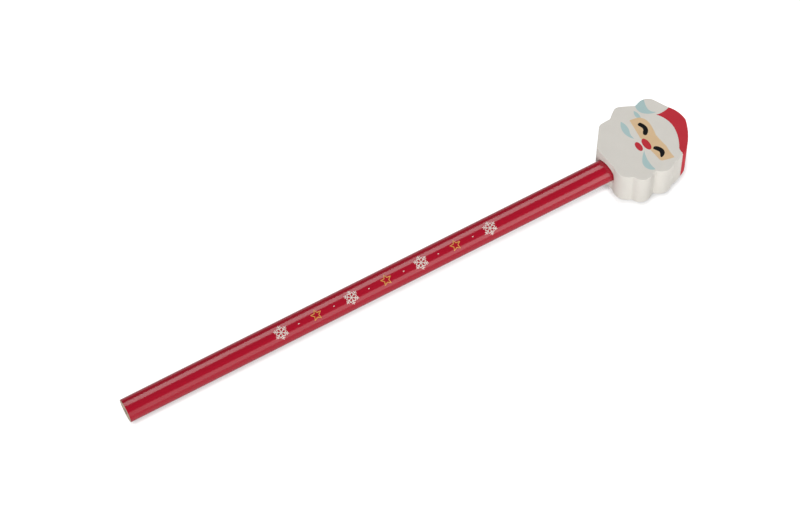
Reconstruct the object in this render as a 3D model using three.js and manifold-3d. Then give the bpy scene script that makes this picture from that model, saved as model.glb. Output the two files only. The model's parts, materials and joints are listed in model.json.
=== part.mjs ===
// A round wooden pencil, cut flat at its free end, with a thick eraser head pushed on the other end.
// The head is one slice of a bar laid up from coloured strips, so each colour runs right through it.
// Millimetres, +Z up. The pencil lies along +X, and the origin is the centre of its free end.
import * as THREE from "three";
import { mergeVertices } from "three/addons/utils/BufferGeometryUtils.js";
import Module from "manifold-3d";

// Pencil
const PENCIL_LENGTH = 175;
const PENCIL_DIAMETER = 7.5;
const LACQUER_THICKNESS = 0.15;
const LEAD_DIAMETER = 2.2;
const LEAD_GLUE = 0.1;

// Eraser head: its length runs along the pencil, from the tip of the beard to the top of the hat
const HEAD_LENGTH = 28.9;
const HEAD_WIDTH = 26.6;
const HEAD_THICKNESS = 14.6;
const HEAD_EDGE_RADIUS = 0.35;
const STRIP_SEAM = 0.1;

// Bore: how deep the pencil sits behind the beard's tip, and the room that it has there
const GRIP_DEPTH = 9.7;
const BORE_CLEARANCE = 0.15;
const BORE_END_GAP = 0.3;

// Features of the face
const EYE_STROKE = 1.45;
const NOSE_LENGTH = 4.35;
const NOSE_WIDTH = 2.2;
const MOUTH_LENGTH = 3.5;
const MOUTH_WIDTH = 1.85;
const FEATURE_TILT = THREE.MathUtils.degToRad(4.5);

// Facets of the round shapes, the angle that one facet of an outline's arc turns through,
// and how far a cutting shape stands past what it cuts
const BARREL_SIDES = 48;
const LEAD_SIDES = 24;
const BORE_SIDES = 32;
const OVAL_SIDES = 16;
const EDGE_STEPS = 2;
const ARC_STEP = THREE.MathUtils.degToRad(16);
const OVERRUN = 2;

// Finishes
const WOOD = { color: 0xd2b48c, roughness: 0.8 };
const GRAPHITE = { color: 0x4a4846, roughness: 0.5 };
const LACQUER = { color: 0x9b1228, roughness: 0.2 };
const WHITE_ERASER = { color: 0xe0dcd5, roughness: 0.7 };
const RED_ERASER = { color: 0xbe2d3a, roughness: 0.6 };
const BLUE_ERASER = { color: 0xa3bebc, roughness: 0.7 };
const PEACH_ERASER = { color: 0xd7b98f, roughness: 0.7 };
const BLACK_ERASER = { color: 0x141416, roughness: 0.6 };

// Outlines on the head, seen from the front and listed counter-clockwise. Each corner is
// [along, across, bulge]: hundredths of HEAD_LENGTH from the beard's tip, hundredths of HEAD_WIDTH
// from the pencil's axis, and the rise over half the chord of the arc that leads to the next corner.
// A positive bulge swells outwards.
const HUNDREDTHS = 100;
const HEAD = [
  [3.6, -11.9, -0.11],
  [3.5, -14.8, 0.41],
  [14.5, -34.9, -0.23],
  [16.4, -36.6, 0.39],
  [32.8, -44.7, 0.06],
  [38.2, -41.4, -0.37],
  [41.2, -41.8, 0.3],
  [57.6, -45.9, 0.04],
  [60.8, -43.2, -0.16],
  [63.8, -41.7, 0.12],
  [76.3, -36.7, 0.06],
  [82.8, -32.9, 0.12],
  [99.9, 0.5, 0.17],
  [92, 23.7, 0],
  [81.9, 42, 0.39],
  [67.4, 46.9, 0],
  [62.4, 45, -0.21],
  [60.2, 45.2, 0.03],
  [46.2, 52.4, 0.28],
  [38.1, 51.4, 0.03],
  [30.9, 44.9, -0.19],
  [28.6, 43.9, 0.03],
  [17.8, 43.1, 0.18],
  [14.2, 40.4, 0],
  [0.9, 20.4, 0.16],
  [0.1, 14.4, 0.04],
];

// The strips at the head's rim run on past it to these lines, and the head's outline trims them.
const PAST_TOP = 110;
const PAST_LEFT = 60;
const PAST_RIGHT = -60;
const HAT_CROWN = [
  [75.4, 22.5, -0.19],
  [84.1, -1.5, -0.13],
  [76, -28.1, 0.12],
  [75.7, -33.1, 0.12],
  [76.1, -35.3, 0],
  [75.1, -37.4, 0],
  [74.3, PAST_RIGHT, 0],
  [PAST_TOP, PAST_RIGHT, 0],
  [PAST_TOP, 24.1, 0],
  [92.5, 24.1, -0.16],
];
const BOBBLE = [
  [61.3, PAST_LEFT, 0],
  [61.3, 44.4, 0.32],
  [64.5, 31.2, 0.2],
  [80.3, 25.3, 0],
  [81.3, 19.9, 0],
  [PAST_TOP, 19.9, 0],
  [PAST_TOP, PAST_LEFT, 0],
];

// Only the side of this outline that crosses the bobble divides anything.
const BOBBLE_SHADE = [
  [55.1, PAST_LEFT, 0],
  [55.1, 9.9, 0],
  [78, 9.9, 0],
  [76.5, 26.1, -0.3],
  [71.2, 35.1, -0.09],
  [73.1, 45.7, 0],
  [73.1, PAST_LEFT, 0],
];

// The lower sides of the brim and of the hat's shade lie under the face panel, which cuts them back.
const HAT_BRIM = [
  [61.2, 29.6, 0],
  [57.6, 0, 0],
  [66, -35.9, 0],
  [62.1, -41.6, 0],
  [58.1, PAST_RIGHT, 0],
  [PAST_TOP, PAST_RIGHT, 0],
  [PAST_TOP, 44.7, 0],
  [73.9, 40.2, 0],
];
const HAT_SHADE = [
  [56.8, 39.5, 0.3],
  [56.6, 27.7, 0],
  [59.1, 27.3, 0.25],
];
const FACE_PANEL = [
  [47, 31.1, 0],
  [46.1, 5.4, 0],
  [48.2, -14.4, 0],
  [50.6, -29.3, 0.3],
  [53.1, -33, 0.03],
  [66, -35.9, -0.07],
  [65.5, -18.6, -0.04],
  [62.5, 0, 0.08],
  [63.8, 18.1, 0.17],
  [60, 26.7, 0.2],
  [56.1, 29.6, 0.03],
];
const LEFT_WHISKER = [
  [38.1, 34.5, 0.42],
  [40.4, 7.2, -0.16],
  [39.6, 16.7, 0.26],
];
const RIGHT_WHISKER = [
  [42, -11.5, 0.12],
  [32.9, -24.1, 0.46],
  [41.1, -38.8, -0.17],
];

// Centre lines of the eyes, and centres of the nose and the mouth, in the same hundredths
const LEFT_EYE = { from: [53.6, 7.9], to: [54.1, 20.4], bulge: 0.52 };
const RIGHT_EYE = { from: [55.4, -26.4], to: [53.5, -15], bulge: 0.62 };
const NOSE_CENTRE = [48, -5.4];
const MOUTH_CENTRE = [39.5, -3.9];

const wasm = await Module();
wasm.setup();

// Turns a shape drawn across and up, and extruded along its third axis, to lie along the pencil.
const ALONG_PENCIL = new THREE.Matrix4().makeBasis(
  new THREE.Vector3(0, 1, 0),
  new THREE.Vector3(0, 0, 1),
  new THREE.Vector3(1, 0, 0),
);

function solidFrom(geometry) {
  geometry.deleteAttribute("normal");
  geometry.deleteAttribute("uv");
  const merged = mergeVertices(geometry);
  return new wasm.Manifold(
    new wasm.Mesh({
      numProp: 3,
      vertProperties: merged.attributes.position.array,
      triVerts: new Uint32Array(merged.index.array),
    }),
  );
}

function geometryFrom(solid) {
  const mesh = solid.getMesh();
  const geometry = new THREE.BufferGeometry();
  geometry.setAttribute("position", new THREE.BufferAttribute(mesh.vertProperties, 3));
  geometry.setIndex(new THREE.BufferAttribute(mesh.triVerts, 1));
  return geometry;
}

// Points of a circular arc about the origin, both ends included.
function circlePoints(radius, startAngle, endAngle, steps) {
  return Array.from({ length: steps + 1 }, (_, i) => {
    const angle = startAngle + ((endAngle - startAngle) * i) / steps;
    return new THREE.Vector2(radius * Math.cos(angle), radius * Math.sin(angle));
  });
}

function ringPoints(radius, sides) {
  return circlePoints(radius, 0, 2 * Math.PI, sides).slice(0, -1);
}

function headPoint(along, across) {
  return new THREE.Vector2((along * HEAD_LENGTH) / HUNDREDTHS, (across * HEAD_WIDTH) / HUNDREDTHS);
}

// Points of the arc from start towards end, without end. The whole arc turns through 4 atan(bulge).
function arcPoints(start, end, bulge) {
  if (bulge === 0) return [start];
  const half = end.clone().sub(start).multiplyScalar(0.5);
  const toCentre = (1 - bulge * bulge) / (2 * bulge);
  const centre = start.clone().add(half).add(new THREE.Vector2(-half.y, half.x).multiplyScalar(toCentre));
  const sweep = 4 * Math.atan(bulge);
  const steps = Math.max(2, Math.ceil(Math.abs(sweep) / ARC_STEP));
  return Array.from({ length: steps }, (_, i) => start.clone().rotateAround(centre, (sweep * i) / steps));
}

function outlinePoints(corners) {
  return corners.flatMap(([along, across, bulge], i) => {
    const [nextAlong, nextAcross] = corners[(i + 1) % corners.length];
    return arcPoints(headPoint(along, across), headPoint(nextAlong, nextAcross), bulge);
  });
}

// A stroke of even width along one arc, with round ends.
function strokePoints({ from, to, bulge }, width) {
  const start = headPoint(...from);
  const end = headPoint(...to);
  const chord = end.clone().sub(start);
  const side = new THREE.Vector2(chord.y, -chord.x).normalize();
  const turn = 2 * Math.atan(bulge);
  const atStart = side.clone().rotateAround(new THREE.Vector2(), -turn).multiplyScalar(width / 2);
  const atEnd = side.clone().rotateAround(new THREE.Vector2(), turn).multiplyScalar(width / 2);
  const outerStart = start.clone().add(atStart);
  const outerEnd = end.clone().add(atEnd);
  const innerStart = start.clone().sub(atStart);
  const innerEnd = end.clone().sub(atEnd);
  return [
    ...arcPoints(outerStart, outerEnd, bulge),
    ...arcPoints(outerEnd, innerEnd, 1),
    ...arcPoints(innerEnd, innerStart, -bulge),
    ...arcPoints(innerStart, outerStart, 1),
  ];
}

// An oval laid across the head, tilted a little with the face.
function ovalPoints(centre, length, width) {
  const { x, y } = headPoint(...centre);
  const oval = new THREE.EllipseCurve(x, y, width / 2, length / 2, 0, 2 * Math.PI, false, FEATURE_TILT);
  return oval.getPoints(OVAL_SIDES).slice(0, -1);
}

// The outline moved outwards by a distance, each corner along its mitre.
function grow(points, distance) {
  return points.map((point, i) => {
    const before = point.clone().sub(points.at(i - 1)).normalize();
    const after = points[(i + 1) % points.length].clone().sub(point).normalize();
    const mitre = new THREE.Vector2(before.y + after.y, -before.x - after.x);
    return point.clone().addScaledVector(mitre, (2 * distance) / mitre.lengthSq());
  });
}

// A straight shape that stands past both faces of the head, to cut a strip out of it.
function cutter(points) {
  const depth = HEAD_THICKNESS + OVERRUN;
  const geometry = new THREE.ExtrudeGeometry(new THREE.Shape(points), { depth, bevelEnabled: false });
  return solidFrom(geometry.translate(0, 0, -depth / 2));
}

// The room that a strip takes up among its neighbours, with the seam around it.
function pocket(points) {
  return cutter(grow(points, STRIP_SEAM));
}

// The whole slice before it is divided, with its outer edges rounded over on both faces.
function headBlank() {
  const depth = HEAD_THICKNESS - 2 * HEAD_EDGE_RADIUS;
  const geometry = new THREE.ExtrudeGeometry(new THREE.Shape(outlinePoints(HEAD)), {
    depth,
    bevelThickness: HEAD_EDGE_RADIUS,
    bevelSize: HEAD_EDGE_RADIUS,
    bevelOffset: -HEAD_EDGE_RADIUS,
    bevelSegments: EDGE_STEPS,
  });
  return solidFrom(geometry.translate(0, 0, -depth / 2));
}

// The blind hole that the pencil is pushed into, opening through the beard's tip.
function bore() {
  const circle = new THREE.Shape(ringPoints(PENCIL_DIAMETER / 2 + BORE_CLEARANCE, BORE_SIDES));
  const depth = OVERRUN + GRIP_DEPTH + BORE_END_GAP;
  const geometry = new THREE.ExtrudeGeometry(circle, { depth, bevelEnabled: false });
  return solidFrom(geometry.translate(0, 0, -OVERRUN).applyMatrix4(ALONG_PENCIL));
}

function piece(name, geometry, finish) {
  const mesh = new THREE.Mesh(geometry, new THREE.MeshStandardMaterial(finish));
  mesh.name = name;
  return mesh;
}

function barrelGeometry(shape) {
  const geometry = new THREE.ExtrudeGeometry(shape, { depth: PENCIL_LENGTH, bevelEnabled: false });
  return geometry.applyMatrix4(ALONG_PENCIL);
}

// Half of the wooden casing: a half-round slat with a half-round groove for the lead.
function slatGeometry(startAngle) {
  const outer = PENCIL_DIAMETER / 2 - LACQUER_THICKNESS;
  const groove = LEAD_DIAMETER / 2 + LEAD_GLUE;
  const endAngle = startAngle + Math.PI;
  return barrelGeometry(
    new THREE.Shape([
      ...circlePoints(outer, startAngle, endAngle, BARREL_SIDES / 2),
      ...circlePoints(groove, endAngle, startAngle, LEAD_SIDES / 2),
    ]),
  );
}

function leadGeometry() {
  return barrelGeometry(new THREE.Shape(ringPoints(LEAD_DIAMETER / 2, LEAD_SIDES)));
}

// The lacquer is a thin tube on the wood, open at both cut ends.
function lacquerGeometry() {
  const outer = PENCIL_DIAMETER / 2;
  const tube = new THREE.Shape(ringPoints(outer, BARREL_SIDES));
  tube.holes.push(new THREE.Path(ringPoints(outer - LACQUER_THICKNESS, BARREL_SIDES)));
  return barrelGeometry(tube);
}

function makePencil() {
  const pencil = new THREE.Group();
  pencil.add(
    piece("upper_slat", slatGeometry(0), WOOD),
    piece("lower_slat", slatGeometry(Math.PI), WOOD),
    piece("lead", leadGeometry(), GRAPHITE),
    piece("lacquer_coat", lacquerGeometry(), LACQUER),
  );
  return pencil;
}

// Each strip is its part of the blank, less the strips laid into it and the bore.
function makeHead() {
  const outlines = {
    crown: outlinePoints(HAT_CROWN),
    bobble: outlinePoints(BOBBLE),
    bobbleShade: outlinePoints(BOBBLE_SHADE),
    brim: outlinePoints(HAT_BRIM),
    face: outlinePoints(FACE_PANEL),
    leftWhisker: outlinePoints(LEFT_WHISKER),
    rightWhisker: outlinePoints(RIGHT_WHISKER),
    hatShade: outlinePoints(HAT_SHADE),
    leftEye: strokePoints(LEFT_EYE, EYE_STROKE),
    rightEye: strokePoints(RIGHT_EYE, EYE_STROKE),
    nose: ovalPoints(NOSE_CENTRE, NOSE_LENGTH, NOSE_WIDTH),
    mouth: ovalPoints(MOUTH_CENTRE, MOUTH_LENGTH, MOUTH_WIDTH),
  };
  const bored = headBlank().subtract(bore());
  const strip = (name) => bored.intersect(cutter(outlines[name]));
  const less = (solid, names) => names.reduce((rest, name) => rest.subtract(pocket(outlines[name])), solid);
  const wholeBobble = less(strip("bobble"), ["crown"]);
  const inlays = ["face", "nose", "mouth", "leftWhisker", "rightWhisker", "hatShade"];
  const head = new THREE.Group();
  const add = (name, solid, finish) => head.add(piece(name, geometryFrom(solid), finish));
  add("beard", less(bored, ["crown", "bobble", "brim", ...inlays]), WHITE_ERASER);
  add("hat_brim", less(strip("brim"), ["crown", "bobble", "face"]), WHITE_ERASER);
  add("hat_crown", strip("crown"), RED_ERASER);
  add("bobble", less(wholeBobble, ["bobbleShade"]), WHITE_ERASER);
  add("bobble_shade", wholeBobble.intersect(cutter(outlines.bobbleShade)), BLUE_ERASER);
  add("hat_shade", less(strip("hatShade"), ["face"]), BLUE_ERASER);
  add("face_panel", less(strip("face"), ["leftEye", "rightEye", "nose"]), PEACH_ERASER);
  add("left_eye", strip("leftEye"), BLACK_ERASER);
  add("right_eye", strip("rightEye"), BLACK_ERASER);
  add("nose", strip("nose"), RED_ERASER);
  add("mouth", strip("mouth"), RED_ERASER);
  add("left_whisker", strip("leftWhisker"), BLUE_ERASER);
  add("right_whisker", strip("rightWhisker"), BLUE_ERASER);
  head.position.x = PENCIL_LENGTH - GRIP_DEPTH;
  return head;
}

const object = new THREE.Group();
object.add(makePencil(), makeHead());
export default object;
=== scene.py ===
"""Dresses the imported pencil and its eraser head, and sets them in a plain studio.

The frame gives the places and sizes that the solids fix. Shapes are worked out in millimetres and are
written to their meshes in metres.
"""

import json
import math

import bmesh
import bpy
import numpy as np
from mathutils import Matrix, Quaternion, Vector
from mathutils.geometry import delaunay_2d_cdt


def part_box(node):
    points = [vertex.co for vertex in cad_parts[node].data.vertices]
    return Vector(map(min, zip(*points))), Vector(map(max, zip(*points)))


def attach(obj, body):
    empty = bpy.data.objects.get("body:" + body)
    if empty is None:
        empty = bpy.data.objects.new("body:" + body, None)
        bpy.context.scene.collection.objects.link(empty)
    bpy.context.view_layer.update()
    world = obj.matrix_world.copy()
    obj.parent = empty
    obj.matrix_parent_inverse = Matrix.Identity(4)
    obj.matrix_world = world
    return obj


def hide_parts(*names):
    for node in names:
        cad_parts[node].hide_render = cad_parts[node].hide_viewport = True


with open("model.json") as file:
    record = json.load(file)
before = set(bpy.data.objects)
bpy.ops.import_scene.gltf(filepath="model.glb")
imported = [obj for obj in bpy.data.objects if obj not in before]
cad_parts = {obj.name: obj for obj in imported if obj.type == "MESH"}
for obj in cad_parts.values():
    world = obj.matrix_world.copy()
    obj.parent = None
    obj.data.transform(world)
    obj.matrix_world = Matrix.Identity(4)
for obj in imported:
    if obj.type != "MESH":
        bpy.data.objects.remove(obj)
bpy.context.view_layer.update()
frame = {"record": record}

bl_info = {
    "name": "Pencil with eraser head",
    "version": (1, 0, 0),
    "blender": (4, 5, 0),
    "location": "View3D > Sidebar > Pencil",
    "description": "Builds a lacquered pencil, its eraser head of coloured strips, and a studio",
    "category": "Add Mesh",
}

MM = 0.001


def low_corner(node):
    return np.array(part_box(node)[0]) / MM


def high_corner(node):
    return np.array(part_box(node)[1]) / MM


# Sizes that the solids fix, in millimetres
BARREL_START = low_corner("lacquer_coat")[0]
BARREL_END = high_corner("lacquer_coat")[0]
BARREL_RADIUS = high_corner("lacquer_coat")[2]
WOOD_RADIUS = high_corner("upper_slat")[2]
LEAD_RADIUS = high_corner("lead")[2]
HEAD_TIP = low_corner("beard")[0]
HEAD_TOP = high_corner("beard")[2]

# Pencil: rounding of its cut edges, and the glue line between the two halves of its casing
LACQUER_EDGE = 0.06
LEAD_EDGE = 0.08
GLUE_LINE = 0.02

# Bore of the head: room round the pencil and past its end, and rounding and lean of the mouth
BORE_ROOM = 0.04
BORE_END_GAP = 0.3
BORE_LIP = 0.6
MOUTH_LEAN = -0.22
CUTTER_OVERRUN = 1

# How finely shapes are drawn
BARREL_SIDES = 160
LEAD_SIDES = 64
BARREL_STATIONS = 24
SLAT_STEPS = (24, 48, 6)
ARC_STEP = math.radians(4)
LEAST_ARC_STEPS = 3
OVAL_SIDES = 64
EDGE_STEPS = 6
FACE_GRID = 0.7
STROKE_STEPS = (13, 12)
SHARP_ANGLE = math.radians(32)

# How close points of a mesh or of a flat sheet lie when they count as one, and how short an edge collapses
SAME_POINT = 1e-4
SAME_SHEET_POINT = 1e-5
COLLAPSED_EDGE = 1e-5

# The head's outlines, seen from the front and listed counter-clockwise. Each corner is
# [along, across, bulge]: hundredths of the head's length from the beard's tip, hundredths of its width
# from the pencil's axis, and the rise over half the chord of the arc that leads to the next corner.
HEAD_LENGTH = 28.9
HEAD_WIDTH = 26.6
HUNDREDTHS = 100
HEAD = [
    [3.6, -11.9, -0.11],
    [3.5, -14.8, 0.41],
    [14.5, -34.9, -0.23],
    [16.4, -36.6, 0.39],
    [32.8, -44.7, 0.06],
    [38.2, -41.4, -0.37],
    [41.2, -41.8, 0.3],
    [57.6, -45.9, 0.04],
    [60.8, -43.2, -0.16],
    [63.8, -41.7, 0.12],
    [76.3, -36.7, 0.06],
    [82.8, -32.9, 0.12],
    [99.9, 0.5, 0.17],
    [92, 23.7, 0],
    [81.9, 42, 0.31],
    [67.4, 46.9, 0],
    [62.4, 45, -0.21],
    [60.2, 45.2, 0.03],
    [46.2, 52.4, 0.28],
    [38.1, 51.4, 0.03],
    [30.9, 44.9, -0.19],
    [28.6, 43.9, 0.03],
    [17.8, 43.1, 0.18],
    [14.2, 40.4, 0],
    [0.9, 20.4, 0.16],
    [0.1, 14.4, 0.04],
]

# The strips at the head's rim run on past it to these lines, and the rim trims them.
PAST_TOP = 110
PAST_LEFT = 60
PAST_RIGHT = -60
HAT_CROWN = [
    [75.4, 22.5, -0.19],
    [84.1, -1.5, -0.13],
    [76, -28.1, 0.12],
    [75.7, -33.1, 0.12],
    [76.1, -35.3, 0],
    [75.1, -37.4, 0],
    [74.3, PAST_RIGHT, 0],
    [PAST_TOP, PAST_RIGHT, 0],
    [PAST_TOP, 24.1, 0],
    [92.5, 24.1, -0.16],
]
BOBBLE = [
    [61.3, PAST_LEFT, 0],
    [61.3, 44.4, 0.32],
    [64.5, 31.2, 0.2],
    [80.3, 25.3, 0],
    [81.3, 19.9, 0],
    [PAST_TOP, 19.9, 0],
    [PAST_TOP, PAST_LEFT, 0],
]
BOBBLE_SHADE = [
    [55.1, PAST_LEFT, 0],
    [55.1, 9.9, 0],
    [78, 9.9, 0],
    [76.5, 26.1, -0.3],
    [71.2, 35.1, -0.09],
    [73.1, 45.7, 0],
    [73.1, PAST_LEFT, 0],
]
HAT_BRIM = [
    [61.2, 29.6, 0],
    [57.6, 0, 0],
    [66, -35.9, 0],
    [62.1, -41.6, 0],
    [58.1, PAST_RIGHT, 0],
    [PAST_TOP, PAST_RIGHT, 0],
    [PAST_TOP, 44.7, 0],
    [73.9, 40.2, 0],
]
HAT_SHADE = [
    [56.8, 39.5, 0.3],
    [56.6, 27.7, 0],
    [59.1, 27.3, 0.25],
]
FACE_PANEL = [
    [47, 31.1, 0],
    [46.1, 5.4, 0],
    [48.2, -14.4, 0],
    [50.6, -29.3, 0.3],
    [53.1, -33, 0.03],
    [66, -35.9, -0.07],
    [65.5, -18.6, -0.04],
    [62.5, 0, 0.08],
    [63.8, 18.1, 0.17],
    [60, 26.7, 0.2],
    [56.1, 29.6, 0.03],
]
LEFT_WHISKER = [
    [38.1, 34.5, 0.42],
    [40.4, 7.2, -0.16],
    [39.6, 16.7, 0.26],
]
RIGHT_WHISKER = [
    [42, -11.5, 0.12],
    [32.9, -24.1, 0.46],
    [41.1, -38.8, -0.17],
]

LEFT_EYE = [
    [51.9, 20.3, 0],
    [54, 15.7, -0.23],
    [53.5, 11.8, 0.1],
    [51.4, 8.7, 0.85],
    [55.4, 5.9, 0.23],
    [59.1, 12.7, 0.15],
    [56.5, 21.2, 0.42],
    [53.3, 22.6, 0.45],
]
RIGHT_EYE = [
    [51.5, -14.9, 0],
    [53.8, -18.5, -0.31],
    [54.9, -23.7, 0.04],
    [53.5, -26.7, 0.74],
    [55.5, -28.6, 0.18],
    [60.2, -24.6, 0.24],
    [58.9, -16.7, 0.14],
    [55.2, -12.8, 0.55],
]

# The nose and the mouth are ovals, long across the head and tilted.
NOSE_CENTRE = [48, -5.4]
NOSE_SIZE = (4.35, 2.2)
MOUTH_CENTRE = [39.5, -3.9]
MOUTH_SIZE = (3.5, 1.85)
FEATURE_TILT = math.radians(4.5)

# Bow of the cut faces, as two slow waves. Each has its turn in radians for a millimetre along and across
# the head, its turn at the start, and its share of the bow.
FACE_WAVES = ((0.21, 0.09, 0.6, 0.6), (-0.11, 0.27, 2.0, 0.4))

# Specular level of the eraser's vinyl, and of the black one, which the pigment makes duller
VINYL_SHINE = 0.25
BLACK_VINYL_SHINE = 0.12

# Printed motifs: a row along the barrel, on the side that faces the camera
PRINT_START = 52
PRINT_STEP = 12
PRINT_COUNT = 7
PRINT_TURN = math.radians(112)
FLAKE_SIZE = 2.3
STAR_SIZE = 1.7
DOT_SIZE = 0.1

# Pairs of barbs on a snowflake, as shares of its arm: where each stands, and how long it is. Inner corners
# of a star, as a share of its size.
FLAKE_BARBS = ((0.45, 0.34), (0.72, 0.22))
STAR_INNER = 0.45

# A printed line: the power that rounds its ends, and as shares of its height, how far it is lifted off the
# lacquer and how far its underside bows down
STROKE_POWER = 8
STROKE_LIFT = 0.15
STROKE_BELLY = 0.1

# Studio, in the part's frame: the camera that took the photograph, on a 36 mm sensor, and how far it sees
CAMERA_PLACE = (-95.74, -375.5, 852.46)
CAMERA_AIM = (94.87, 2.64, 0.06)
CAMERA_ROLL = math.radians(-2.28)
CAMERA_LENS = 140.7
CAMERA_REACH = 100000

# Floor card: its size, its points along a side, and the share of its added light that a gloss shows
FLOOR_SIZE = 8000
FLOOR_POINTS = 3
GLOSS_SHARE = 0.28

# Contact shadow on the card, at the pencil's free end, at the barrel's lifted end and under the head: how
# far and which way the card looks for open room, the open shares where the shadow is darkest and where it
# is gone, and the light that is left where it is darkest. The card looks up and to the back, so the shadow
# falls to the front, and at the lifted end it looks away from the head as well. The head's values take
# over between two distances past the beard's tip.
SHADOW_REACH = (2.3, 4.2, 2.3)
SHADOW_LOOK = ((0, 0.8, 0.6), (-0.8, 0.35, 0.48), (0, 0.8, 0.6))
SHADOW_DARKEST = (0.1, 0.89, 0.05)
SHADOW_GONE = (0.63, 0.98, 0.85)
SHADOW_LEFT = (0.22, 0.17, 0.15)
SHADOW_CHANGE = (0.6, 2.6)
SHADOW_SAMPLES = 16

# Soft boxes: place, what each faces, width and height, and its light at the left and the right end
BACK_BOX = ((260, 490, 755), (260, 0, 0), (600, 650), (1, 1))
FRONT_BOX = ((250, -520, 170), (250, 0, 0), (620, 385), (0.25, 1.29))
SIDE_BOX = ((-1500, -1000, 650), (165, 0, 0), (1760, 1370), (1, 1))
HEAD_BOX = ((900, 60, 25), (180, 0, 0), (300, 90), (1, 1))


def linear(code):
    """Linear colour of an sRGB hex value: the power curve of 2.4, with its straight foot."""
    shares = np.array([code >> 16 & 255, code >> 8 & 255, code & 255]) / 255
    return tuple(np.where(shares > 0.04045, ((shares + 0.055) / 1.055) ** 2.4, shares / 12.92))


def colour_setting(name, words, code):
    return bpy.props.FloatVectorProperty(
        name=name, description=words, subtype="COLOR", min=0, max=1, default=linear(code)
    )


def length_setting(name, words, millimetres):
    return bpy.props.FloatProperty(
        name=name, description=words, unit="LENGTH", precision=5, min=0, default=millimetres * MM
    )


def power_setting(name, words, watts):
    return bpy.props.FloatProperty(name=name, description=words, unit="POWER", min=0, default=watts)


def strength_setting(name, words, strength):
    return bpy.props.FloatProperty(name=name, description=words, min=0, default=strength)


class BarrelSettings(bpy.types.PropertyGroup):
    lacquer: colour_setting("Lacquer", "Gloss lacquer on the barrel", 0xB20F2A)
    wood: colour_setting("Wood", "Casing, as it shows at the cut ends", 0xD6C6AC)
    graphite: colour_setting("Graphite", "Core of the pencil", 0x363331)
    pale_ink: colour_setting("Pale ink", "Larger printed motifs", 0xEFE3DA)
    gold_ink: colour_setting("Gold ink", "Smaller printed motifs", 0xE0A04A)
    ink_stroke: length_setting("Ink stroke", "Width of a printed line", 0.26)
    ink_height: length_setting("Ink height", "How far a printed line stands up", 0.02)


class EraserSettings(bpy.types.PropertyGroup):
    white: colour_setting("White", "Beard, brim and bobble", 0xE4E0D8)
    red: colour_setting("Red", "Hat, nose and mouth", 0xC82837)
    blue: colour_setting("Blue", "Whiskers and shaded strips", 0xB4CFCF)
    peach: colour_setting("Peach", "Face", 0xE5C59B)
    black: colour_setting("Black", "Eyes", 0x0E0E10)
    edge_radius: length_setting("Edge radius", "Rounding of the head's outer edges", 0.12)
    face_wave: length_setting("Face wave", "How far the cut faces bow", 0.03)


class StageSettings(bpy.types.PropertyGroup):
    floor: colour_setting("Floor", "Matt card under the object", 0xB8B8B8)
    floor_glow: strength_setting("Floor glow", "Light added to the floor where it is seen", 0.87)
    back_power: power_setting("Back box", "Soft box behind the pencil", 4.2)
    front_power: power_setting("Front box", "Soft box in front of it", 2.285)
    side_power: power_setting("Side box", "Soft box past its free end", 28.4)
    head_power: power_setting("Head box", "Low soft box past the head", 2.6)
    surround: strength_setting("Surround", "Strength of the grey room", 0.11)


# Meshes


def grid_faces(rows, columns, closed_rows=False, closed_columns=False):
    """Quads between neighbouring points of a grid that is numbered row by row."""
    row = np.arange(rows if closed_rows else rows - 1)[:, None]
    column = np.arange(columns if closed_columns else columns - 1)[None, :]
    next_row = (row + 1) % rows
    next_column = (column + 1) % columns
    quads = [
        row * columns + column,
        row * columns + next_column,
        next_row * columns + next_column,
        next_row * columns + column,
    ]
    return np.stack(quads, axis=-1).reshape(-1, 4).tolist()


def add_piece(name, points, faces, body, material):
    """A shape in millimetres as a piece that rides on a body."""
    mesh = bpy.data.meshes.new(name)
    mesh.from_pydata((points * MM).tolist(), [], faces)
    mesh.materials.append(material)
    piece = bpy.data.objects.new(name, mesh)
    bpy.context.scene.collection.objects.link(piece)
    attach(piece, body)
    return piece


def close(mesh):
    """Merges points that meet at seams and poles, drops what collapses, and turns every face outwards."""
    work = bmesh.new()
    work.from_mesh(mesh)
    bmesh.ops.remove_doubles(work, verts=work.verts, dist=SAME_POINT * MM)
    bmesh.ops.dissolve_degenerate(work, edges=work.edges, dist=COLLAPSED_EDGE * MM)
    bmesh.ops.recalc_face_normals(work, faces=work.faces)
    work.to_mesh(mesh)
    work.free()


def shade(mesh):
    """Smooth shading that breaks at real edges."""
    mesh.shade_smooth()
    mesh.set_sharp_from_angle(angle=SHARP_ANGLE)


def revolved(along, radius, sides):
    """Rings about the pencil's axis, one for each point of a profile: y = r cos a and z = r sin a."""
    turn = np.linspace(0, 2 * np.pi, sides, endpoint=False)[None, :]
    x = np.broadcast_to(along[:, None], (len(along), sides))
    rings = [x, radius[:, None] * np.cos(turn), radius[:, None] * np.sin(turn)]
    return np.stack(rings, axis=-1).reshape(-1, 3)


def bar_profile(radius, edge):
    """Profile of a round bar from end to end of the barrel: a straight side and two quarter circles.

    At an end, x = e (1 - cos a) and r = R - e (1 - sin a) take the flat face over into the side.
    """
    angle = np.linspace(0, np.pi / 2, EDGE_STEPS + 1)
    inset = edge * (1 - np.cos(angle))
    drop = radius - edge * (1 - np.sin(angle))
    side = np.linspace(BARREL_START, BARREL_END, BARREL_STATIONS)[1:-1]
    along = np.concatenate([BARREL_START + inset, side, (BARREL_END - inset)[::-1]])
    across = np.concatenate([drop, np.full(len(side), radius), drop[::-1]])
    return along, across


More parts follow.
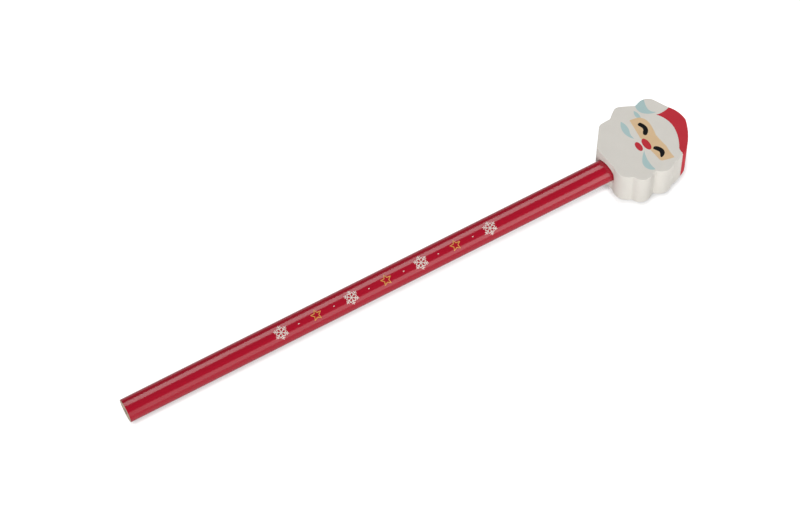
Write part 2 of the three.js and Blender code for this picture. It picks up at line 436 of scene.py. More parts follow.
def block_shape(shape, counts):
    """Points and faces of the six sides of a block of parameters u, v and w, which a function bends."""
    points, faces, total = [], [], 0
    for fixed in range(3):
        first, second = (axis for axis in range(3) if axis != fixed)
        for end in (0, 1):
            places = [None, None, None]
            places[first], places[second] = np.meshgrid(
                np.linspace(0, 1, counts[first]), np.linspace(0, 1, counts[second]), indexing="ij"
            )
            places[fixed] = np.full_like(places[first], end)
            points.append(shape(*places).reshape(-1, 3))
            quads = np.array(grid_faces(counts[first], counts[second])) + total
            faces.extend(quads.tolist())
            total += counts[first] * counts[second]
    return np.concatenate(points), faces


# Outlines of the head, as complex numbers: along the pencil, and across it, in millimetres


def head_place(along, across):
    return complex(along * HEAD_LENGTH, across * HEAD_WIDTH) / HUNDREDTHS


def arc(start, end, bulge):
    """Points of an arc without its end: the start, turned about the centre through 4 atan(bulge) in all."""
    if bulge == 0:
        return np.array([start])
    half = (end - start) / 2
    centre = start + half + 1j * half * (1 - bulge**2) / (2 * bulge)
    sweep = 4 * math.atan(bulge)
    steps = max(LEAST_ARC_STEPS, math.ceil(abs(sweep) / ARC_STEP))
    return centre + (start - centre) * np.exp(1j * sweep * np.arange(steps) / steps)


def outline(corners):
    """Closed line through the corners, each side straight or an arc."""
    following = corners[1:] + corners[:1]
    sides = [
        arc(head_place(*corner[:2]), head_place(*after[:2]), corner[2])
        for corner, after in zip(corners, following)
    ]
    return np.concatenate(sides)


def oval_outline(centre, size):
    """Ellipse that is long across the head, turned by the tilt of the face."""
    across, along = size
    angle = np.linspace(0, 2 * np.pi, OVAL_SIDES, endpoint=False)
    ellipse = (along * np.cos(angle) + 1j * across * np.sin(angle)) / 2
    return head_place(*centre) + ellipse * np.exp(1j * FEATURE_TILT)


def strip_outlines():
    """Outline of every strip but the beard. Each strip is laid into those before it."""
    return {
        "hat_brim": outline(HAT_BRIM),
        "bobble": outline(BOBBLE),
        "bobble_shade": outline(BOBBLE_SHADE),
        "hat_crown": outline(HAT_CROWN),
        "hat_shade": outline(HAT_SHADE),
        "face_panel": outline(FACE_PANEL),
        "left_whisker": outline(LEFT_WHISKER),
        "right_whisker": outline(RIGHT_WHISKER),
        "left_eye": outline(LEFT_EYE),
        "right_eye": outline(RIGHT_EYE),
        "nose": oval_outline(NOSE_CENTRE, NOSE_SIZE),
        "mouth": oval_outline(MOUTH_CENTRE, MOUTH_SIZE),
    }


def mitres(line):
    """For each corner of a closed line, the way out that moves both of its sides by one unit."""
    ahead = np.roll(line, -1) - line
    out = -1j * ahead / np.abs(ahead)
    both = out + np.roll(out, 1)
    return 2 * both / np.abs(both) ** 2


def inside(line, points):
    """True where the corners of a closed line turn a full circle about a point."""
    arms = line[None, :] - points[:, None]
    turns = np.angle(np.roll(arms, -1, axis=1) / arms).sum(axis=1)
    return np.abs(turns) > np.pi


def loose_edges(triangles):
    """Directed edges that no neighbouring triangle runs back along."""
    edges = np.concatenate([triangles[:, [0, 1]], triangles[:, [1, 2]], triangles[:, [2, 0]]])
    count = triangles.max() + 1
    there = edges[:, 0] * count + edges[:, 1]
    back = edges[:, 1] * count + edges[:, 0]
    return edges[~np.isin(there, back)]


def triangulate(lines, filling):
    """Points and triangles of a flat sheet whose edges follow the closed lines."""
    starts = np.cumsum([0] + [len(line) for line in lines])
    edges = []
    for line, start in zip(lines, starts):
        corner = np.arange(len(line))
        edges.extend(np.stack([corner + start, np.roll(corner, -1) + start], axis=1).tolist())
    given = np.concatenate([*lines, filling])
    corners = [Vector(pair) for pair in np.stack([given.real, given.imag], axis=1).tolist()]
    made_points, _, made_faces, *_ = delaunay_2d_cdt(corners, edges, [], 0, SAME_SHEET_POINT)
    flat = np.array([point[:] for point in made_points])
    return flat[:, 0] + 1j * flat[:, 1], np.array(made_faces)


def between_corners(points, line, values):
    """Values at the corners of a closed line, shared out along its nearest side to each point."""
    side = np.roll(line, -1) - line
    share = ((points[:, None] - line) * side.conj()).real / np.abs(side) ** 2
    share = np.clip(share, 0, 1)
    nearest = np.abs(line + share * side - points[:, None]).argmin(axis=1)
    share = share[np.arange(len(points)), nearest]
    return (1 - share) * values[nearest] + share * np.roll(values, -1)[nearest]


def divide_head(edge_radius):
    """Front face of the head as triangles that follow every outline.

    Returns the points, the way out of each point on the rim, the triangles, and the strip that each
    triangle belongs to. All outlines go into one sheet, so neighbouring strips share their seams, and
    a triangle takes the last strip that holds its middle. The bobble's shade only takes from the bobble.
    """
    strips = strip_outlines()
    way_out = mitres(outline(HEAD))
    rim = outline(HEAD) - edge_radius * way_out
    columns = np.arange(rim.real.min(), rim.real.max(), FACE_GRID)
    rows = np.arange(rim.imag.min(), rim.imag.max(), FACE_GRID)
    filling = (columns[None, :] + 1j * rows[:, None]).ravel()
    points, triangles = triangulate([rim, *strips.values()], filling[inside(rim, filling)])
    middle = points[triangles].mean(axis=1)
    held = inside(rim, middle)
    triangles, middle = triangles[held], middle[held]
    owner = np.full(len(triangles), "beard", dtype=object)
    for name, line in strips.items():
        found = inside(line, middle)
        if name == "bobble_shade":
            found &= owner == "bobble"
        owner[found] = name
    outward = np.zeros(len(points), dtype=complex)
    on_rim = np.unique(loose_edges(triangles))
    outward[on_rim] = between_corners(points[on_rim], rim, way_out)
    return points, outward, triangles, owner


def face_wave(points, depth):
    """Gentle bow of the cut faces: the sum of slow waves, each a sine of the place along and across."""
    waves = [
        share * np.sin(points.real * along + points.imag * across + start)
        for along, across, start, share in FACE_WAVES
    ]
    return depth * sum(waves)


def strip_shape(points, outward, triangles, edge_radius, lift):
    """One strip through the head: both cut faces, and a wall carried down round its edges.

    The wall's section is a quarter circle, a straight line and a quarter circle. At the rim a point
    moves out by r sin a while it sinks by r (1 - cos a), and along a seam it goes straight down.
    """
    used, triangles = np.unique(triangles, return_inverse=True)
    triangles = triangles.reshape(-1, 3)
    points, outward, lift = points[used], outward[used], lift[used]
    angle = np.linspace(0, np.pi / 2, EDGE_STEPS + 1)
    reach = edge_radius * np.sin(angle)
    height = HEAD_TOP - edge_radius * (1 - np.cos(angle))
    reach = np.concatenate([reach, [edge_radius], reach[::-1]])
    height = np.concatenate([height, [0], -height[::-1]])
    flat = points[None, :] + outward[None, :] * reach[:, None]
    level = height[:, None] + np.sign(height)[:, None] * lift[None, :]
    shift = HEAD_TIP - outline(HEAD).real.min()
    shape = np.stack([flat.real + shift, flat.imag, level], axis=-1).reshape(-1, 3)
    first, second = loose_edges(triangles).T
    upper = np.arange(len(reach) - 1)[:, None] * len(points)
    lower = upper + len(points)
    walls = np.stack([upper + first, lower + first, lower + second, upper + second], axis=-1)
    back = triangles[:, ::-1] + (len(reach) - 1) * len(points)
    wanted = np.unique(np.concatenate([triangles.ravel(), back.ravel(), walls.ravel()]))
    number = np.zeros(len(shape), dtype=int)
    number[wanted] = np.arange(len(wanted))
    caps = number[np.concatenate([triangles, back])].tolist()
    return shape[wanted], caps + number[walls.reshape(-1, 4)].tolist()


def wall_place():
    """Where the head's end wall crosses the pencil's axis: the side of the outline that changes over it."""
    line = outline(HEAD)
    after = np.roll(line, -1)
    near = (line.real + after.real < HEAD_LENGTH) & (line.imag * after.imag <= 0)
    start, end = line[near][0], after[near][0]
    share = start.imag / (start.imag - end.imag)
    return HEAD_TIP + (start + share * (end - start)).real - line.real.min()


def cut_bore(piece):
    """Takes the bore out of a piece: a cylinder whose mouth opens like a trumpet.

    Over the lip, x = l (1 - sin a) and r = R + l (1 - cos a) take the bore over into the end wall, and
    the mouth leans about as that wall does: x gains the lean times y.
    """
    angle = np.linspace(np.pi / 2, 0, EDGE_STEPS + 1)
    radius = BARREL_RADIUS + BORE_ROOM
    outer = HEAD_TIP - CUTTER_OVERRUN
    inner = BARREL_END + BORE_END_GAP
    lip = wall_place() + BORE_LIP * (1 - np.sin(angle))
    along = np.concatenate([[outer, outer], lip, [inner, inner]])
    flare = radius + BORE_LIP * (1 - np.cos(angle))
    across = np.concatenate([[0, radius + BORE_LIP], flare, [radius, 0]])
    points = revolved(along, across, BARREL_SIDES)
    mouth = points[: -2 * BARREL_SIDES]
    mouth[:, 0] += mouth[:, 1] * MOUTH_LEAN
    mesh = bpy.data.meshes.new("bore")
    faces = grid_faces(len(along), BARREL_SIDES, closed_columns=True)
    mesh.from_pydata((points * MM).tolist(), [], faces)
    close(mesh)
    cutter = bpy.data.objects.new("bore", mesh)
    bpy.context.scene.collection.objects.link(cutter)
    cut = piece.modifiers.new("bore", "BOOLEAN")
    cut.operation = "DIFFERENCE"
    cut.solver = "EXACT"
    cut.object = cutter
    bpy.context.view_layer.update()
    solid = piece.evaluated_get(bpy.context.evaluated_depsgraph_get())
    whole = piece.data
    piece.data = bpy.data.meshes.new_from_object(solid)
    close(piece.data)
    piece.modifiers.remove(cut)
    bpy.data.objects.remove(cutter)
    bpy.data.meshes.remove(whole)


# Printed motifs, as complex numbers on the unrolled barrel: along the pencil, and up round it


def flake_lines(size):
    """Snowflake: six arms, each with two pairs of barbs that lean out at 60 degrees."""
    arms = np.exp(1j * np.pi * (np.arange(6) / 3 + 1 / 6))
    lines = [(0, arm * size) for arm in arms]
    for place, barb in FLAKE_BARBS:
        for lean in (np.exp(1j * np.pi / 3), np.exp(-1j * np.pi / 3)):
            lines.extend((arm * size * place, arm * size * (place + barb * lean)) for arm in arms)
    return lines


def star_lines(size):
    """Star of five points, as an outline: corners at two radii in turn."""
    turn = np.exp(1j * np.pi * (np.arange(10) / 5 + 0.5))
    corner = turn * size * np.where(np.arange(10) % 2, STAR_INNER, 1)
    return list(zip(corner, np.roll(corner, -1)))


def print_shape(lines, width, height):
    """Raised printed lines, wrapped round the barrel.

    Along a line u goes from -1 to 1, and its section shrinks as the p-th root of 1 - u^p, so that its
    ends are round. Across it the section is a half ellipse on a flatter one, just above the lacquer.
    """
    start, end = np.array(lines).T
    middle = ((start + end) / 2)[:, None, None]
    half = ((end - start) / 2)[:, None, None]
    along = half / np.abs(half)
    u = np.sin(np.linspace(-np.pi / 2, np.pi / 2, STROKE_STEPS[0]))[None, :, None]
    angle = np.linspace(0, 2 * np.pi, STROKE_STEPS[1], endpoint=False)[None, None, :]
    swell = (1 - np.abs(u) ** STROKE_POWER) ** (1 / STROKE_POWER)
    flat = middle + (half + along * width / 2) * u + 1j * along * swell * np.cos(angle) * width / 2
    rise = height * swell * np.where(np.sin(angle) > 0, np.sin(angle), STROKE_BELLY * np.sin(angle))
    turn = PRINT_TURN - flat.imag / BARREL_RADIUS
    radius = BARREL_RADIUS + rise + STROKE_LIFT * height
    points = np.stack([flat.real, radius * np.cos(turn), radius * np.sin(turn)], axis=-1)
    quads = np.array(grid_faces(*STROKE_STEPS, closed_columns=True))
    offset = np.arange(len(start))[:, None, None] * STROKE_STEPS[0] * STROKE_STEPS[1]
    return points.reshape(-1, 3), (quads + offset).reshape(-1, 4).tolist()


# Materials


def add_node(tree, kind, inputs, **settings):
    """Adds a node with its own settings. An input is a value, or the output that is linked to it."""
    made = tree.nodes.new(kind)
    for name, value in settings.items():
        setattr(made, name, value)
    for socket, value in inputs.items():
        if isinstance(value, bpy.types.NodeSocket):
            tree.links.new(value, made.inputs[socket])
        else:
            made.inputs[socket].default_value = value
    return made


def per_mm(x, y, z):
    """Mapping scale that gives one cell of a pattern in so many millimetres along each axis."""
    return (1 / (x * MM), 1 / (y * MM), 1 / (z * MM))


def opaque(rgb, share=1):
    """Four-part colour for a socket, at a share of its strength."""
    return (*(share * value for value in rgb), 1)


def empty_material(name):
    material = bpy.data.materials.new(name)
    material.use_nodes = True
    material.node_tree.nodes.clear()
    return material, material.node_tree


def end_material(tree, inputs):
    shader = add_node(tree, "ShaderNodeBsdfPrincipled", inputs)
    add_node(tree, "ShaderNodeOutputMaterial", {"Surface": shader.outputs[0]})


def lacquer_material(settings):
    """Nitrocellulose lacquer, wiped on in many coats: deep, glossy, with faint streaks along the barrel."""
    material, tree = empty_material("nitrocellulose_lacquer")
    place = add_node(tree, "ShaderNodeTexCoord", {}).outputs["Object"]
    streak_place = add_node(tree, "ShaderNodeMapping", {"Vector": place, "Scale": per_mm(40, 0.7, 0.7)})
    streaks = add_node(
        tree, "ShaderNodeTexNoise", {"Vector": streak_place.outputs[0], "Scale": 1, "Detail": 3}
    )
    peel_place = add_node(tree, "ShaderNodeMapping", {"Vector": place, "Scale": per_mm(5, 1.2, 1.2)})
    peel = add_node(tree, "ShaderNodeTexNoise", {"Vector": peel_place.outputs[0], "Scale": 1, "Detail": 2})
    gloss = add_node(
        tree, "ShaderNodeMapRange", {"Value": streaks.outputs[0], "To Min": 0.12, "To Max": 0.2}
    )
    tone = add_node(
        tree,
        "ShaderNodeMix",
        {0: streaks.outputs[0], 6: opaque(settings.lacquer, 1.06), 7: opaque(settings.lacquer, 0.92)},
        data_type="RGBA",
    )
    bump = add_node(
        tree, "ShaderNodeBump", {"Height": peel.outputs[0], "Strength": 0.35, "Distance": 0.01 * MM}
    )
    end_material(
        tree,
        {
            "Base Color": tone.outputs[2],
            "Roughness": gloss.outputs[0],
            "IOR": 1.5,
            "Normal": bump.outputs[0],
        },
    )
    return material


def wood_material(settings):
    """Lime wood, milled and sawn: pale, with growth bands and fine pores that run along the pencil.

    The pores are about 0.06 mm across, too fine to show, and are drawn at 0.16 mm.
    """
    material, tree = empty_material("lime_wood")
    place = add_node(tree, "ShaderNodeTexCoord", {}).outputs["Object"]
    band_place = add_node(tree, "ShaderNodeMapping", {"Vector": place, "Scale": per_mm(90, 1.6, 3.5)})
    bands = add_node(
        tree,
        "ShaderNodeTexWave",
        {"Vector": band_place.outputs[0], "Scale": 0.5, "Distortion": 1.5},
        bands_direction="Y",
    )
    pore_place = add_node(tree, "ShaderNodeMapping", {"Vector": place, "Scale": per_mm(4, 0.16, 0.16)})
    pores = add_node(tree, "ShaderNodeTexNoise", {"Vector": pore_place.outputs[0], "Scale": 1, "Detail": 4})
    grain = add_node(
        tree,
        "ShaderNodeMix",
        {0: bands.outputs[1], 6: opaque(settings.wood), 7: opaque(settings.wood, 0.72)},
        data_type="RGBA",
    )
    dots = add_node(
        tree,
        "ShaderNodeMapRange",
        {"Value": pores.outputs[0], "From Min": 0.52, "From Max": 0.7, "To Min": 0, "To Max": 0.6},
    )
    tone = add_node(
        tree,
        "ShaderNodeMix",
        {0: dots.outputs[0], 6: grain.outputs[2], 7: opaque(settings.wood, 0.45)},
        data_type="RGBA",
    )
    bump = add_node(
        tree, "ShaderNodeBump", {"Height": pores.outputs[0], "Strength": 0.6, "Distance": 0.05 * MM}
    )
    end_material(
        tree,
        {"Base Color": tone.outputs[2], "Roughness": 0.72, "IOR": 1.47, "Normal": bump.outputs[0]},
    )
    return material


def graphite_material(settings):
    """Graphite and clay, fired and waxed: dark grey, with a dull metallic shine and saw marks."""
    material, tree = empty_material("fired_graphite")
    place = add_node(tree, "ShaderNodeTexCoord", {}).outputs["Object"]
    mark_place = add_node(tree, "ShaderNodeMapping", {"Vector": place, "Scale": per_mm(6, 0.12, 0.5)})
    marks = add_node(tree, "ShaderNodeTexNoise", {"Vector": mark_place.outputs[0], "Scale": 1, "Detail": 3})
    gloss = add_node(
        tree, "ShaderNodeMapRange", {"Value": marks.outputs[0], "To Min": 0.32, "To Max": 0.6}
    )
    tone = add_node(
        tree,
        "ShaderNodeMix",
        {0: marks.outputs[0], 6: opaque(settings.graphite, 0.8), 7: opaque(settings.graphite, 1.3)},
        data_type="RGBA",
    )
    bump = add_node(
        tree, "ShaderNodeBump", {"Height": marks.outputs[0], "Strength": 0.5, "Distance": 0.03 * MM}
    )
    end_material(
        tree,
        {
            "Base Color": tone.outputs[2],
            "Metallic": 0.25,
            "Roughness": gloss.outputs[0],
            "IOR": 1.6,
            "Normal": bump.outputs[0],
        },
    )
    return material


def eraser_material(name, rgb, shine=VINYL_SHINE):
    """Soft vinyl, extruded and sliced: matt, faintly mottled, with fine pits and slicing marks.

    The pits are under 0.1 mm across, too fine to show, and are drawn at 0.3 mm.
    """
    material, tree = empty_material(name)
    place = add_node(tree, "ShaderNodeTexCoord", {}).outputs["Object"]
    cloud_place = add_node(tree, "ShaderNodeMapping", {"Vector": place, "Scale": per_mm(3.5, 3.5, 6)})
    clouds = add_node(
        tree, "ShaderNodeTexNoise", {"Vector": cloud_place.outputs[0], "Scale": 1, "Detail": 4}
    )
    pit_place = add_node(tree, "ShaderNodeMapping", {"Vector": place, "Scale": per_mm(0.3, 0.3, 0.3)})
    pits = add_node(tree, "ShaderNodeTexNoise", {"Vector": pit_place.outputs[0], "Scale": 1, "Detail": 3})
    mark_place = add_node(tree, "ShaderNodeMapping", {"Vector": place, "Scale": per_mm(0.35, 9, 14)})
    marks = add_node(tree, "ShaderNodeTexNoise", {"Vector": mark_place.outputs[0], "Scale": 1, "Detail": 2})
    tone = add_node(
        tree,
        "ShaderNodeMix",
        {0: clouds.outputs[0], 6: opaque(rgb, 1.03), 7: opaque(rgb, 0.95)},
        data_type="RGBA",
    )
    gloss = add_node(
        tree, "ShaderNodeMapRange", {"Value": clouds.outputs[0], "To Min": 0.52, "To Max": 0.7}
    )
    relief = add_node(
        tree,
        "ShaderNodeMath",
        {0: marks.outputs[0], 1: 0.8, 2: pits.outputs[0]},
        operation="MULTIPLY_ADD",
    )
    bump = add_node(
        tree, "ShaderNodeBump", {"Height": relief.outputs[0], "Strength": 0.4, "Distance": 0.03 * MM}
    )
    end_material(
        tree,
        {
            "Base Color": tone.outputs[2],
            "Roughness": gloss.outputs[0],
            "IOR": 1.5,
            "Specular IOR Level": shine,
            "Normal": bump.outputs[0],
        },
    )
    return material


def ink_material(name, rgb):
    """Ink cured by lamp: a thin raised film with a satin skin, uneven where the drops ran together.

    A drop leaves a dot of about 0.06 mm, too fine to show, and the dots are drawn at 0.2 mm.
    """
    material, tree = empty_material(name)
    place = add_node(tree, "ShaderNodeTexCoord", {}).outputs["Object"]
    drop_place = add_node(tree, "ShaderNodeMapping", {"Vector": place, "Scale": per_mm(0.2, 0.2, 0.2)})
    drops = add_node(tree, "ShaderNodeTexNoise", {"Vector": drop_place.outputs[0], "Scale": 1, "Detail": 2})
    tone = add_node(
        tree,
        "ShaderNodeMix",
        {0: drops.outputs[0], 6: opaque(rgb), 7: opaque(rgb, 0.85)},
        data_type="RGBA",
    )
    end_material(tree, {"Base Color": tone.outputs[2], "Roughness": 0.35, "IOR": 1.5})
    return material


def floor_material(settings):
    """Matt white card. Where it is seen, light is added, so that it shows as white, and less in a gloss.

    The added light fades where something lies close above the card, which keeps the contact shadow. How
    near and how dark changes along the pencil.
    """
    material, tree = empty_material("matt_card")
    card = add_node(tree, "ShaderNodeBsdfDiffuse", {"Color": opaque(settings.floor)})
    spot = add_node(tree, "ShaderNodeNewGeometry", {})
    along = add_node(tree, "ShaderNodeSeparateXYZ", {0: spot.outputs["Position"]}).outputs["X"]

    def graded(free_end, lifted_end, head):
        """A value that changes evenly along the barrel, and then goes over to the head's."""
        barrel = add_node(
            tree,
            "ShaderNodeMapRange",
            {
                "Value": along,
                "From Min": BARREL_START * MM,
                "From Max": HEAD_TIP * MM,
                "To Min": free_end,
                "To Max": lifted_end,
            },
        )
        change = add_node(
            tree,
            "ShaderNodeMapRange",
            {
                "Value": along,
                "From Min": (HEAD_TIP + SHADOW_CHANGE[0]) * MM,
                "From Max": (HEAD_TIP + SHADOW_CHANGE[1]) * MM,
                "To Min": barrel.outputs[0],
                "To Max": head,
            },
        )
        return change.outputs[0]

    look_parts = {axis: graded(*parts) for axis, parts in enumerate(zip(*SHADOW_LOOK))}
    look = add_node(tree, "ShaderNodeCombineXYZ", look_parts)
    contact = add_node(
        tree,
        "ShaderNodeAmbientOcclusion",
        {"Distance": graded(*(reach * MM for reach in SHADOW_REACH)), "Normal": look.outputs[0]},
        samples=SHADOW_SAMPLES,
    )
    fade = add_node(
        tree,
        "ShaderNodeMapRange",
        {
            "Value": contact.outputs["AO"],
            "From Min": graded(*SHADOW_DARKEST),
            "From Max": graded(*SHADOW_GONE),
            "To Min": graded(*(share * settings.floor_glow for share in SHADOW_LEFT)),
            "To Max": settings.floor_glow,
        },
    )
    ray = add_node(tree, "ShaderNodeLightPath", {})
    glossy = add_node(
        tree,
        "ShaderNodeMath",
        {0: ray.outputs["Is Glossy Ray"], 1: GLOSS_SHARE, 2: ray.outputs["Is Camera Ray"]},
        operation="MULTIPLY_ADD",
    )
    direct = add_node(
        tree,
        "ShaderNodeMath",
        {0: glossy.outputs[0], 1: ray.outputs["Is Transmission Ray"]},
        operation="ADD",
    )
    strength = add_node(
        tree, "ShaderNodeMath", {0: direct.outputs[0], 1: fade.outputs[0]}, operation="MULTIPLY"
    )
    glow = add_node(tree, "ShaderNodeEmission", {"Strength": strength.outputs[0]})
    seen = add_node(tree, "ShaderNodeAddShader", {0: card.outputs[0], 1: glow.outputs[0]})
    add_node(tree, "ShaderNodeOutputMaterial", {"Surface": seen.outputs[0]})
    return material


# Operators


class PENCIL_OT_lacquer(bpy.types.Operator):
    """Lacquer tube: a ring with rounded outer edges, turned about the pencil's axis"""

    bl_idname = "pencil.lacquer"
    bl_label = "Lacquer"

    def execute(self, context):
        along, across = bar_profile(BARREL_RADIUS, LACQUER_EDGE)
        along = np.concatenate([along, [BARREL_END, BARREL_START]])
        across = np.concatenate([across, [WOOD_RADIUS, WOOD_RADIUS]])
        points = revolved(along, across, BARREL_SIDES)
        faces = grid_faces(len(along), BARREL_SIDES, closed_rows=True, closed_columns=True)
        material = lacquer_material(context.scene.pencil_barrel)
        piece = add_piece("barrel_lacquer", points, faces, "pencil", material)
        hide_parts("lacquer_coat")
        close(piece.data)
        shade(piece.data)
        return {"FINISHED"}


class PENCIL_OT_casing(bpy.types.Operator):
    """Wooden casing: two half-round slats, each a bent block of length, angle and radius"""

    bl_idname = "pencil.casing"
    bl_label = "Casing"

    def execute(self, context):
        material = wood_material(context.scene.pencil_barrel)
        for side, name, node in ((1, "upper_casing", "upper_slat"), (-1, "lower_casing", "lower_slat")):

            def slat(u, v, w):
                """x goes along u, and a half turn v and a radius w give y = r cos a and z = r sin a.

                The flat faces, where the sine is 0, stay half a glue line off the middle.
                """
                radius = LEAD_RADIUS + (WOOD_RADIUS - LEAD_RADIUS) * w
                x = BARREL_START + (BARREL_END - BARREL_START) * u
                z = side * (radius * np.sin(np.pi * v) + GLUE_LINE / 2 * (1 - np.sin(np.pi * v)))
                return np.stack([x, radius * np.cos(np.pi * v), z], axis=-1)

            points, faces = block_shape(slat, SLAT_STEPS)
            piece = add_piece(name, points, faces, "pencil", material)
            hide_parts(node)
            close(piece.data)
            shade(piece.data)
        return {"FINISHED"}


class PENCIL_OT_lead(bpy.types.Operator):
    """Graphite core: a round bar with rounded ends, turned about the pencil's axis"""

    bl_idname = "pencil.lead"
    bl_label = "Lead"

    def execute(self, context):
        along, across = bar_profile(LEAD_RADIUS, LEAD_EDGE)
        along = np.concatenate([[BARREL_START], along, [BARREL_END]])
        across = np.concatenate([[0], across, [0]])
        points = revolved(along, across, LEAD_SIDES)
        faces = grid_faces(len(along), LEAD_SIDES, closed_columns=True)
        material = graphite_material(context.scene.pencil_barrel)
        piece = add_piece("graphite_core", points, faces, "pencil", material)
        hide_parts("lead")
        close(piece.data)
        shade(piece.data)
        return {"FINISHED"}


class PENCIL_OT_print(bpy.types.Operator):
    """Printed motifs: snowflakes and stars in turn, with dots between them"""

    bl_idname = "pencil.print"
    bl_label = "Print"

    def execute(self, context):
        settings = context.scene.pencil_barrel
        pale, gold = [], []
        for number in range(PRINT_COUNT):
            place = PRINT_START + PRINT_STEP * number
            if number % 2:
                gold.extend((place + a, place + b) for a, b in star_lines(STAR_SIZE))
            else:
                pale.extend((place + a, place + b) for a, b in flake_lines(FLAKE_SIZE))
            if number < PRINT_COUNT - 1:
                middle = place + PRINT_STEP / 2
                pale.append((middle - DOT_SIZE, middle + DOT_SIZE))
        inks = (
            ("printed_flakes", pale, "pale_ink", settings.pale_ink),
            ("printed_stars", gold, "gold_ink", settings.gold_ink),
        )
        for name, lines, ink, rgb in inks:
            points, faces = print_shape(lines, settings.ink_stroke / MM, settings.ink_height / MM)
            piece = add_piece(name, points, faces, "pencil", ink_material(ink, rgb))
            close(piece.data)
            shade(piece.data)
        return {"FINISHED"}


class PENCIL_OT_head(bpy.types.Operator):
    """Eraser head: every strip follows its outline through the slice, and the beard takes the bore"""

    bl_idname = "pencil.head"
    bl_label = "Eraser head"

    def execute(self, context):
        settings = context.scene.pencil_eraser
        edge_radius = settings.edge_radius / MM
        points, outward, triangles, owner = divide_head(edge_radius)
        lift = face_wave(points, settings.face_wave / MM)
        slots = {row["node"]: row["material_slot"] for row in frame["record"]["subparts"]}
        materials = {
            "white_eraser": eraser_material("white_vinyl", settings.white),
            "red_eraser": eraser_material("red_vinyl", settings.red),
            "blue_eraser": eraser_material("blue_vinyl", settings.blue),
            "peach_eraser": eraser_material("peach_vinyl", settings.peach),
            "black_eraser": eraser_material("black_vinyl", settings.black, BLACK_VINYL_SHINE),
        }
        for node in ["beard", *strip_outlines()]:
            shape, faces = strip_shape(points, outward, triangles[owner == node], edge_radius, lift)
            slot = slots[node]
            piece = add_piece("strip_" + node, shape, faces, "head", materials[slot])
            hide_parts(node)
            if node == "beard":
                cut_bore(piece)
            shade(piece.data)
        return {"FINISHED"}


def point_at(thing, place, aim, roll=0):
    """Places a camera or a lamp, aims it, and rolls it about its own line of sight."""
    way = Vector(aim) - Vector(place)
    turn = way.to_track_quat("-Z", "Y") @ Quaternion((0, 0, 1), roll)
    thing.location = Vector(place) * MM
    thing.rotation_mode = "QUATERNION"
    thing.rotation_quaternion = turn


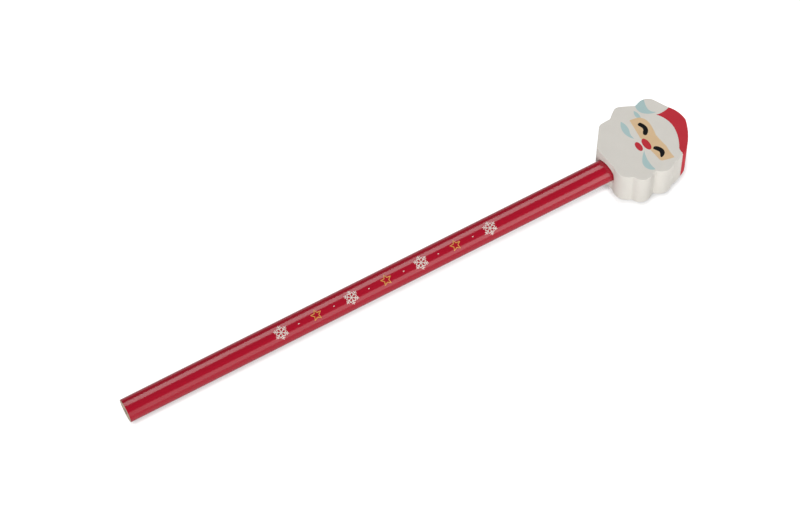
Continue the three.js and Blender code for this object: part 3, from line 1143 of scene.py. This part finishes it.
class PENCIL_OT_stage(bpy.types.Operator):
    """Floor, soft boxes, grey room and camera"""

    bl_idname = "pencil.stage"
    bl_label = "Stage"

    def execute(self, context):
        settings = context.scene.pencil_stage
        self.add_floor(context, settings)
        self.add_box(context, "back_box", *BACK_BOX, settings.back_power)
        self.add_box(context, "front_box", *FRONT_BOX, settings.front_power)
        self.add_box(context, "side_box", *SIDE_BOX, settings.side_power)
        self.add_box(context, "head_box", *HEAD_BOX, settings.head_power)
        world = bpy.data.worlds.new("grey_room")
        world.use_nodes = True
        room = world.node_tree.nodes["Background"].inputs
        room["Color"].default_value = (1, 1, 1, 1)
        room["Strength"].default_value = settings.surround
        context.scene.world = world
        camera = bpy.data.objects.new("camera", bpy.data.cameras.new("camera"))
        camera.data.lens = CAMERA_LENS
        camera.data.clip_end = CAMERA_REACH * MM
        context.scene.collection.objects.link(camera)
        point_at(camera, CAMERA_PLACE, CAMERA_AIM, CAMERA_ROLL)
        context.scene.camera = camera
        context.scene.view_settings.view_transform = "Standard"
        return {"FINISHED"}

    def add_floor(self, context, settings):
        """A sheet that touches the pencil's free end and the near edge of the thicker head."""
        edge = context.scene.pencil_eraser.edge_radius / MM
        fall = (HEAD_TOP - BARREL_RADIUS) / (HEAD_TIP + edge)
        side = np.linspace(-0.5, 0.5, FLOOR_POINTS) * FLOOR_SIZE
        x, y = np.meshgrid(side, side)
        points = np.stack([x, y, -BARREL_RADIUS - fall * x], axis=-1).reshape(-1, 3)
        mesh = bpy.data.meshes.new("floor")
        mesh.from_pydata((points * MM).tolist(), [], grid_faces(FLOOR_POINTS, FLOOR_POINTS))
        mesh.materials.append(floor_material(settings))
        floor = bpy.data.objects.new("floor", mesh)
        context.scene.collection.objects.link(floor)

    def add_box(self, context, name, place, aim, size, ends, power):
        """A soft box that faces what it is aimed at, with its width level and its light graded along X."""
        light = bpy.data.lights.new(name, "AREA")
        light.shape = "RECTANGLE"
        light.size = size[0] * MM
        light.size_y = size[1] * MM
        light.energy = power
        if ends[0] != ends[1]:
            light.use_nodes = True
            tree = light.node_tree
            spot = add_node(tree, "ShaderNodeNewGeometry", {})
            along = add_node(tree, "ShaderNodeSeparateXYZ", {0: spot.outputs["Position"]})
            grade = add_node(
                tree,
                "ShaderNodeMapRange",
                {
                    "Value": along.outputs["X"],
                    "From Min": (place[0] - size[0] / 2) * MM,
                    "From Max": (place[0] + size[0] / 2) * MM,
                    "To Min": ends[0],
                    "To Max": ends[1],
                },
            )
            tree.links.new(grade.outputs[0], tree.nodes["Emission"].inputs["Strength"])
        lamp = bpy.data.objects.new(name, light)
        context.scene.collection.objects.link(lamp)
        point_at(lamp, place, aim)


class PENCIL_PT_panel(bpy.types.Panel):
    """Settings and steps of the pencil"""

    bl_idname = "PENCIL_PT_panel"
    bl_label = "Pencil"
    bl_space_type = "VIEW_3D"
    bl_region_type = "UI"
    bl_category = "Pencil"

    def draw(self, context):
        for group in (context.scene.pencil_barrel, context.scene.pencil_eraser, context.scene.pencil_stage):
            for name in group.__annotations__:
                self.layout.prop(group, name)
        for operator in OPERATORS:
            self.layout.operator(operator.bl_idname)


OPERATORS = (
    PENCIL_OT_stage,
    PENCIL_OT_lacquer,
    PENCIL_OT_casing,
    PENCIL_OT_lead,
    PENCIL_OT_print,
    PENCIL_OT_head,
)
GROUPS = {
    "pencil_barrel": BarrelSettings,
    "pencil_eraser": EraserSettings,
    "pencil_stage": StageSettings,
}


def register():
    for kind in (*GROUPS.values(), *OPERATORS, PENCIL_PT_panel):
        bpy.utils.register_class(kind)
    for name, kind in GROUPS.items():
        setattr(bpy.types.Scene, name, bpy.props.PointerProperty(type=kind))


def unregister():
    for name in GROUPS:
        delattr(bpy.types.Scene, name)
    for kind in (PENCIL_PT_panel, *reversed(OPERATORS), *reversed(GROUPS.values())):
        bpy.utils.unregister_class(kind)


def main():
    register()
    bpy.ops.pencil.stage()
    bpy.ops.pencil.lacquer()
    bpy.ops.pencil.casing()
    bpy.ops.pencil.lead()
    bpy.ops.pencil.print()
    bpy.ops.pencil.head()


if __name__ == "__main__":
    main()
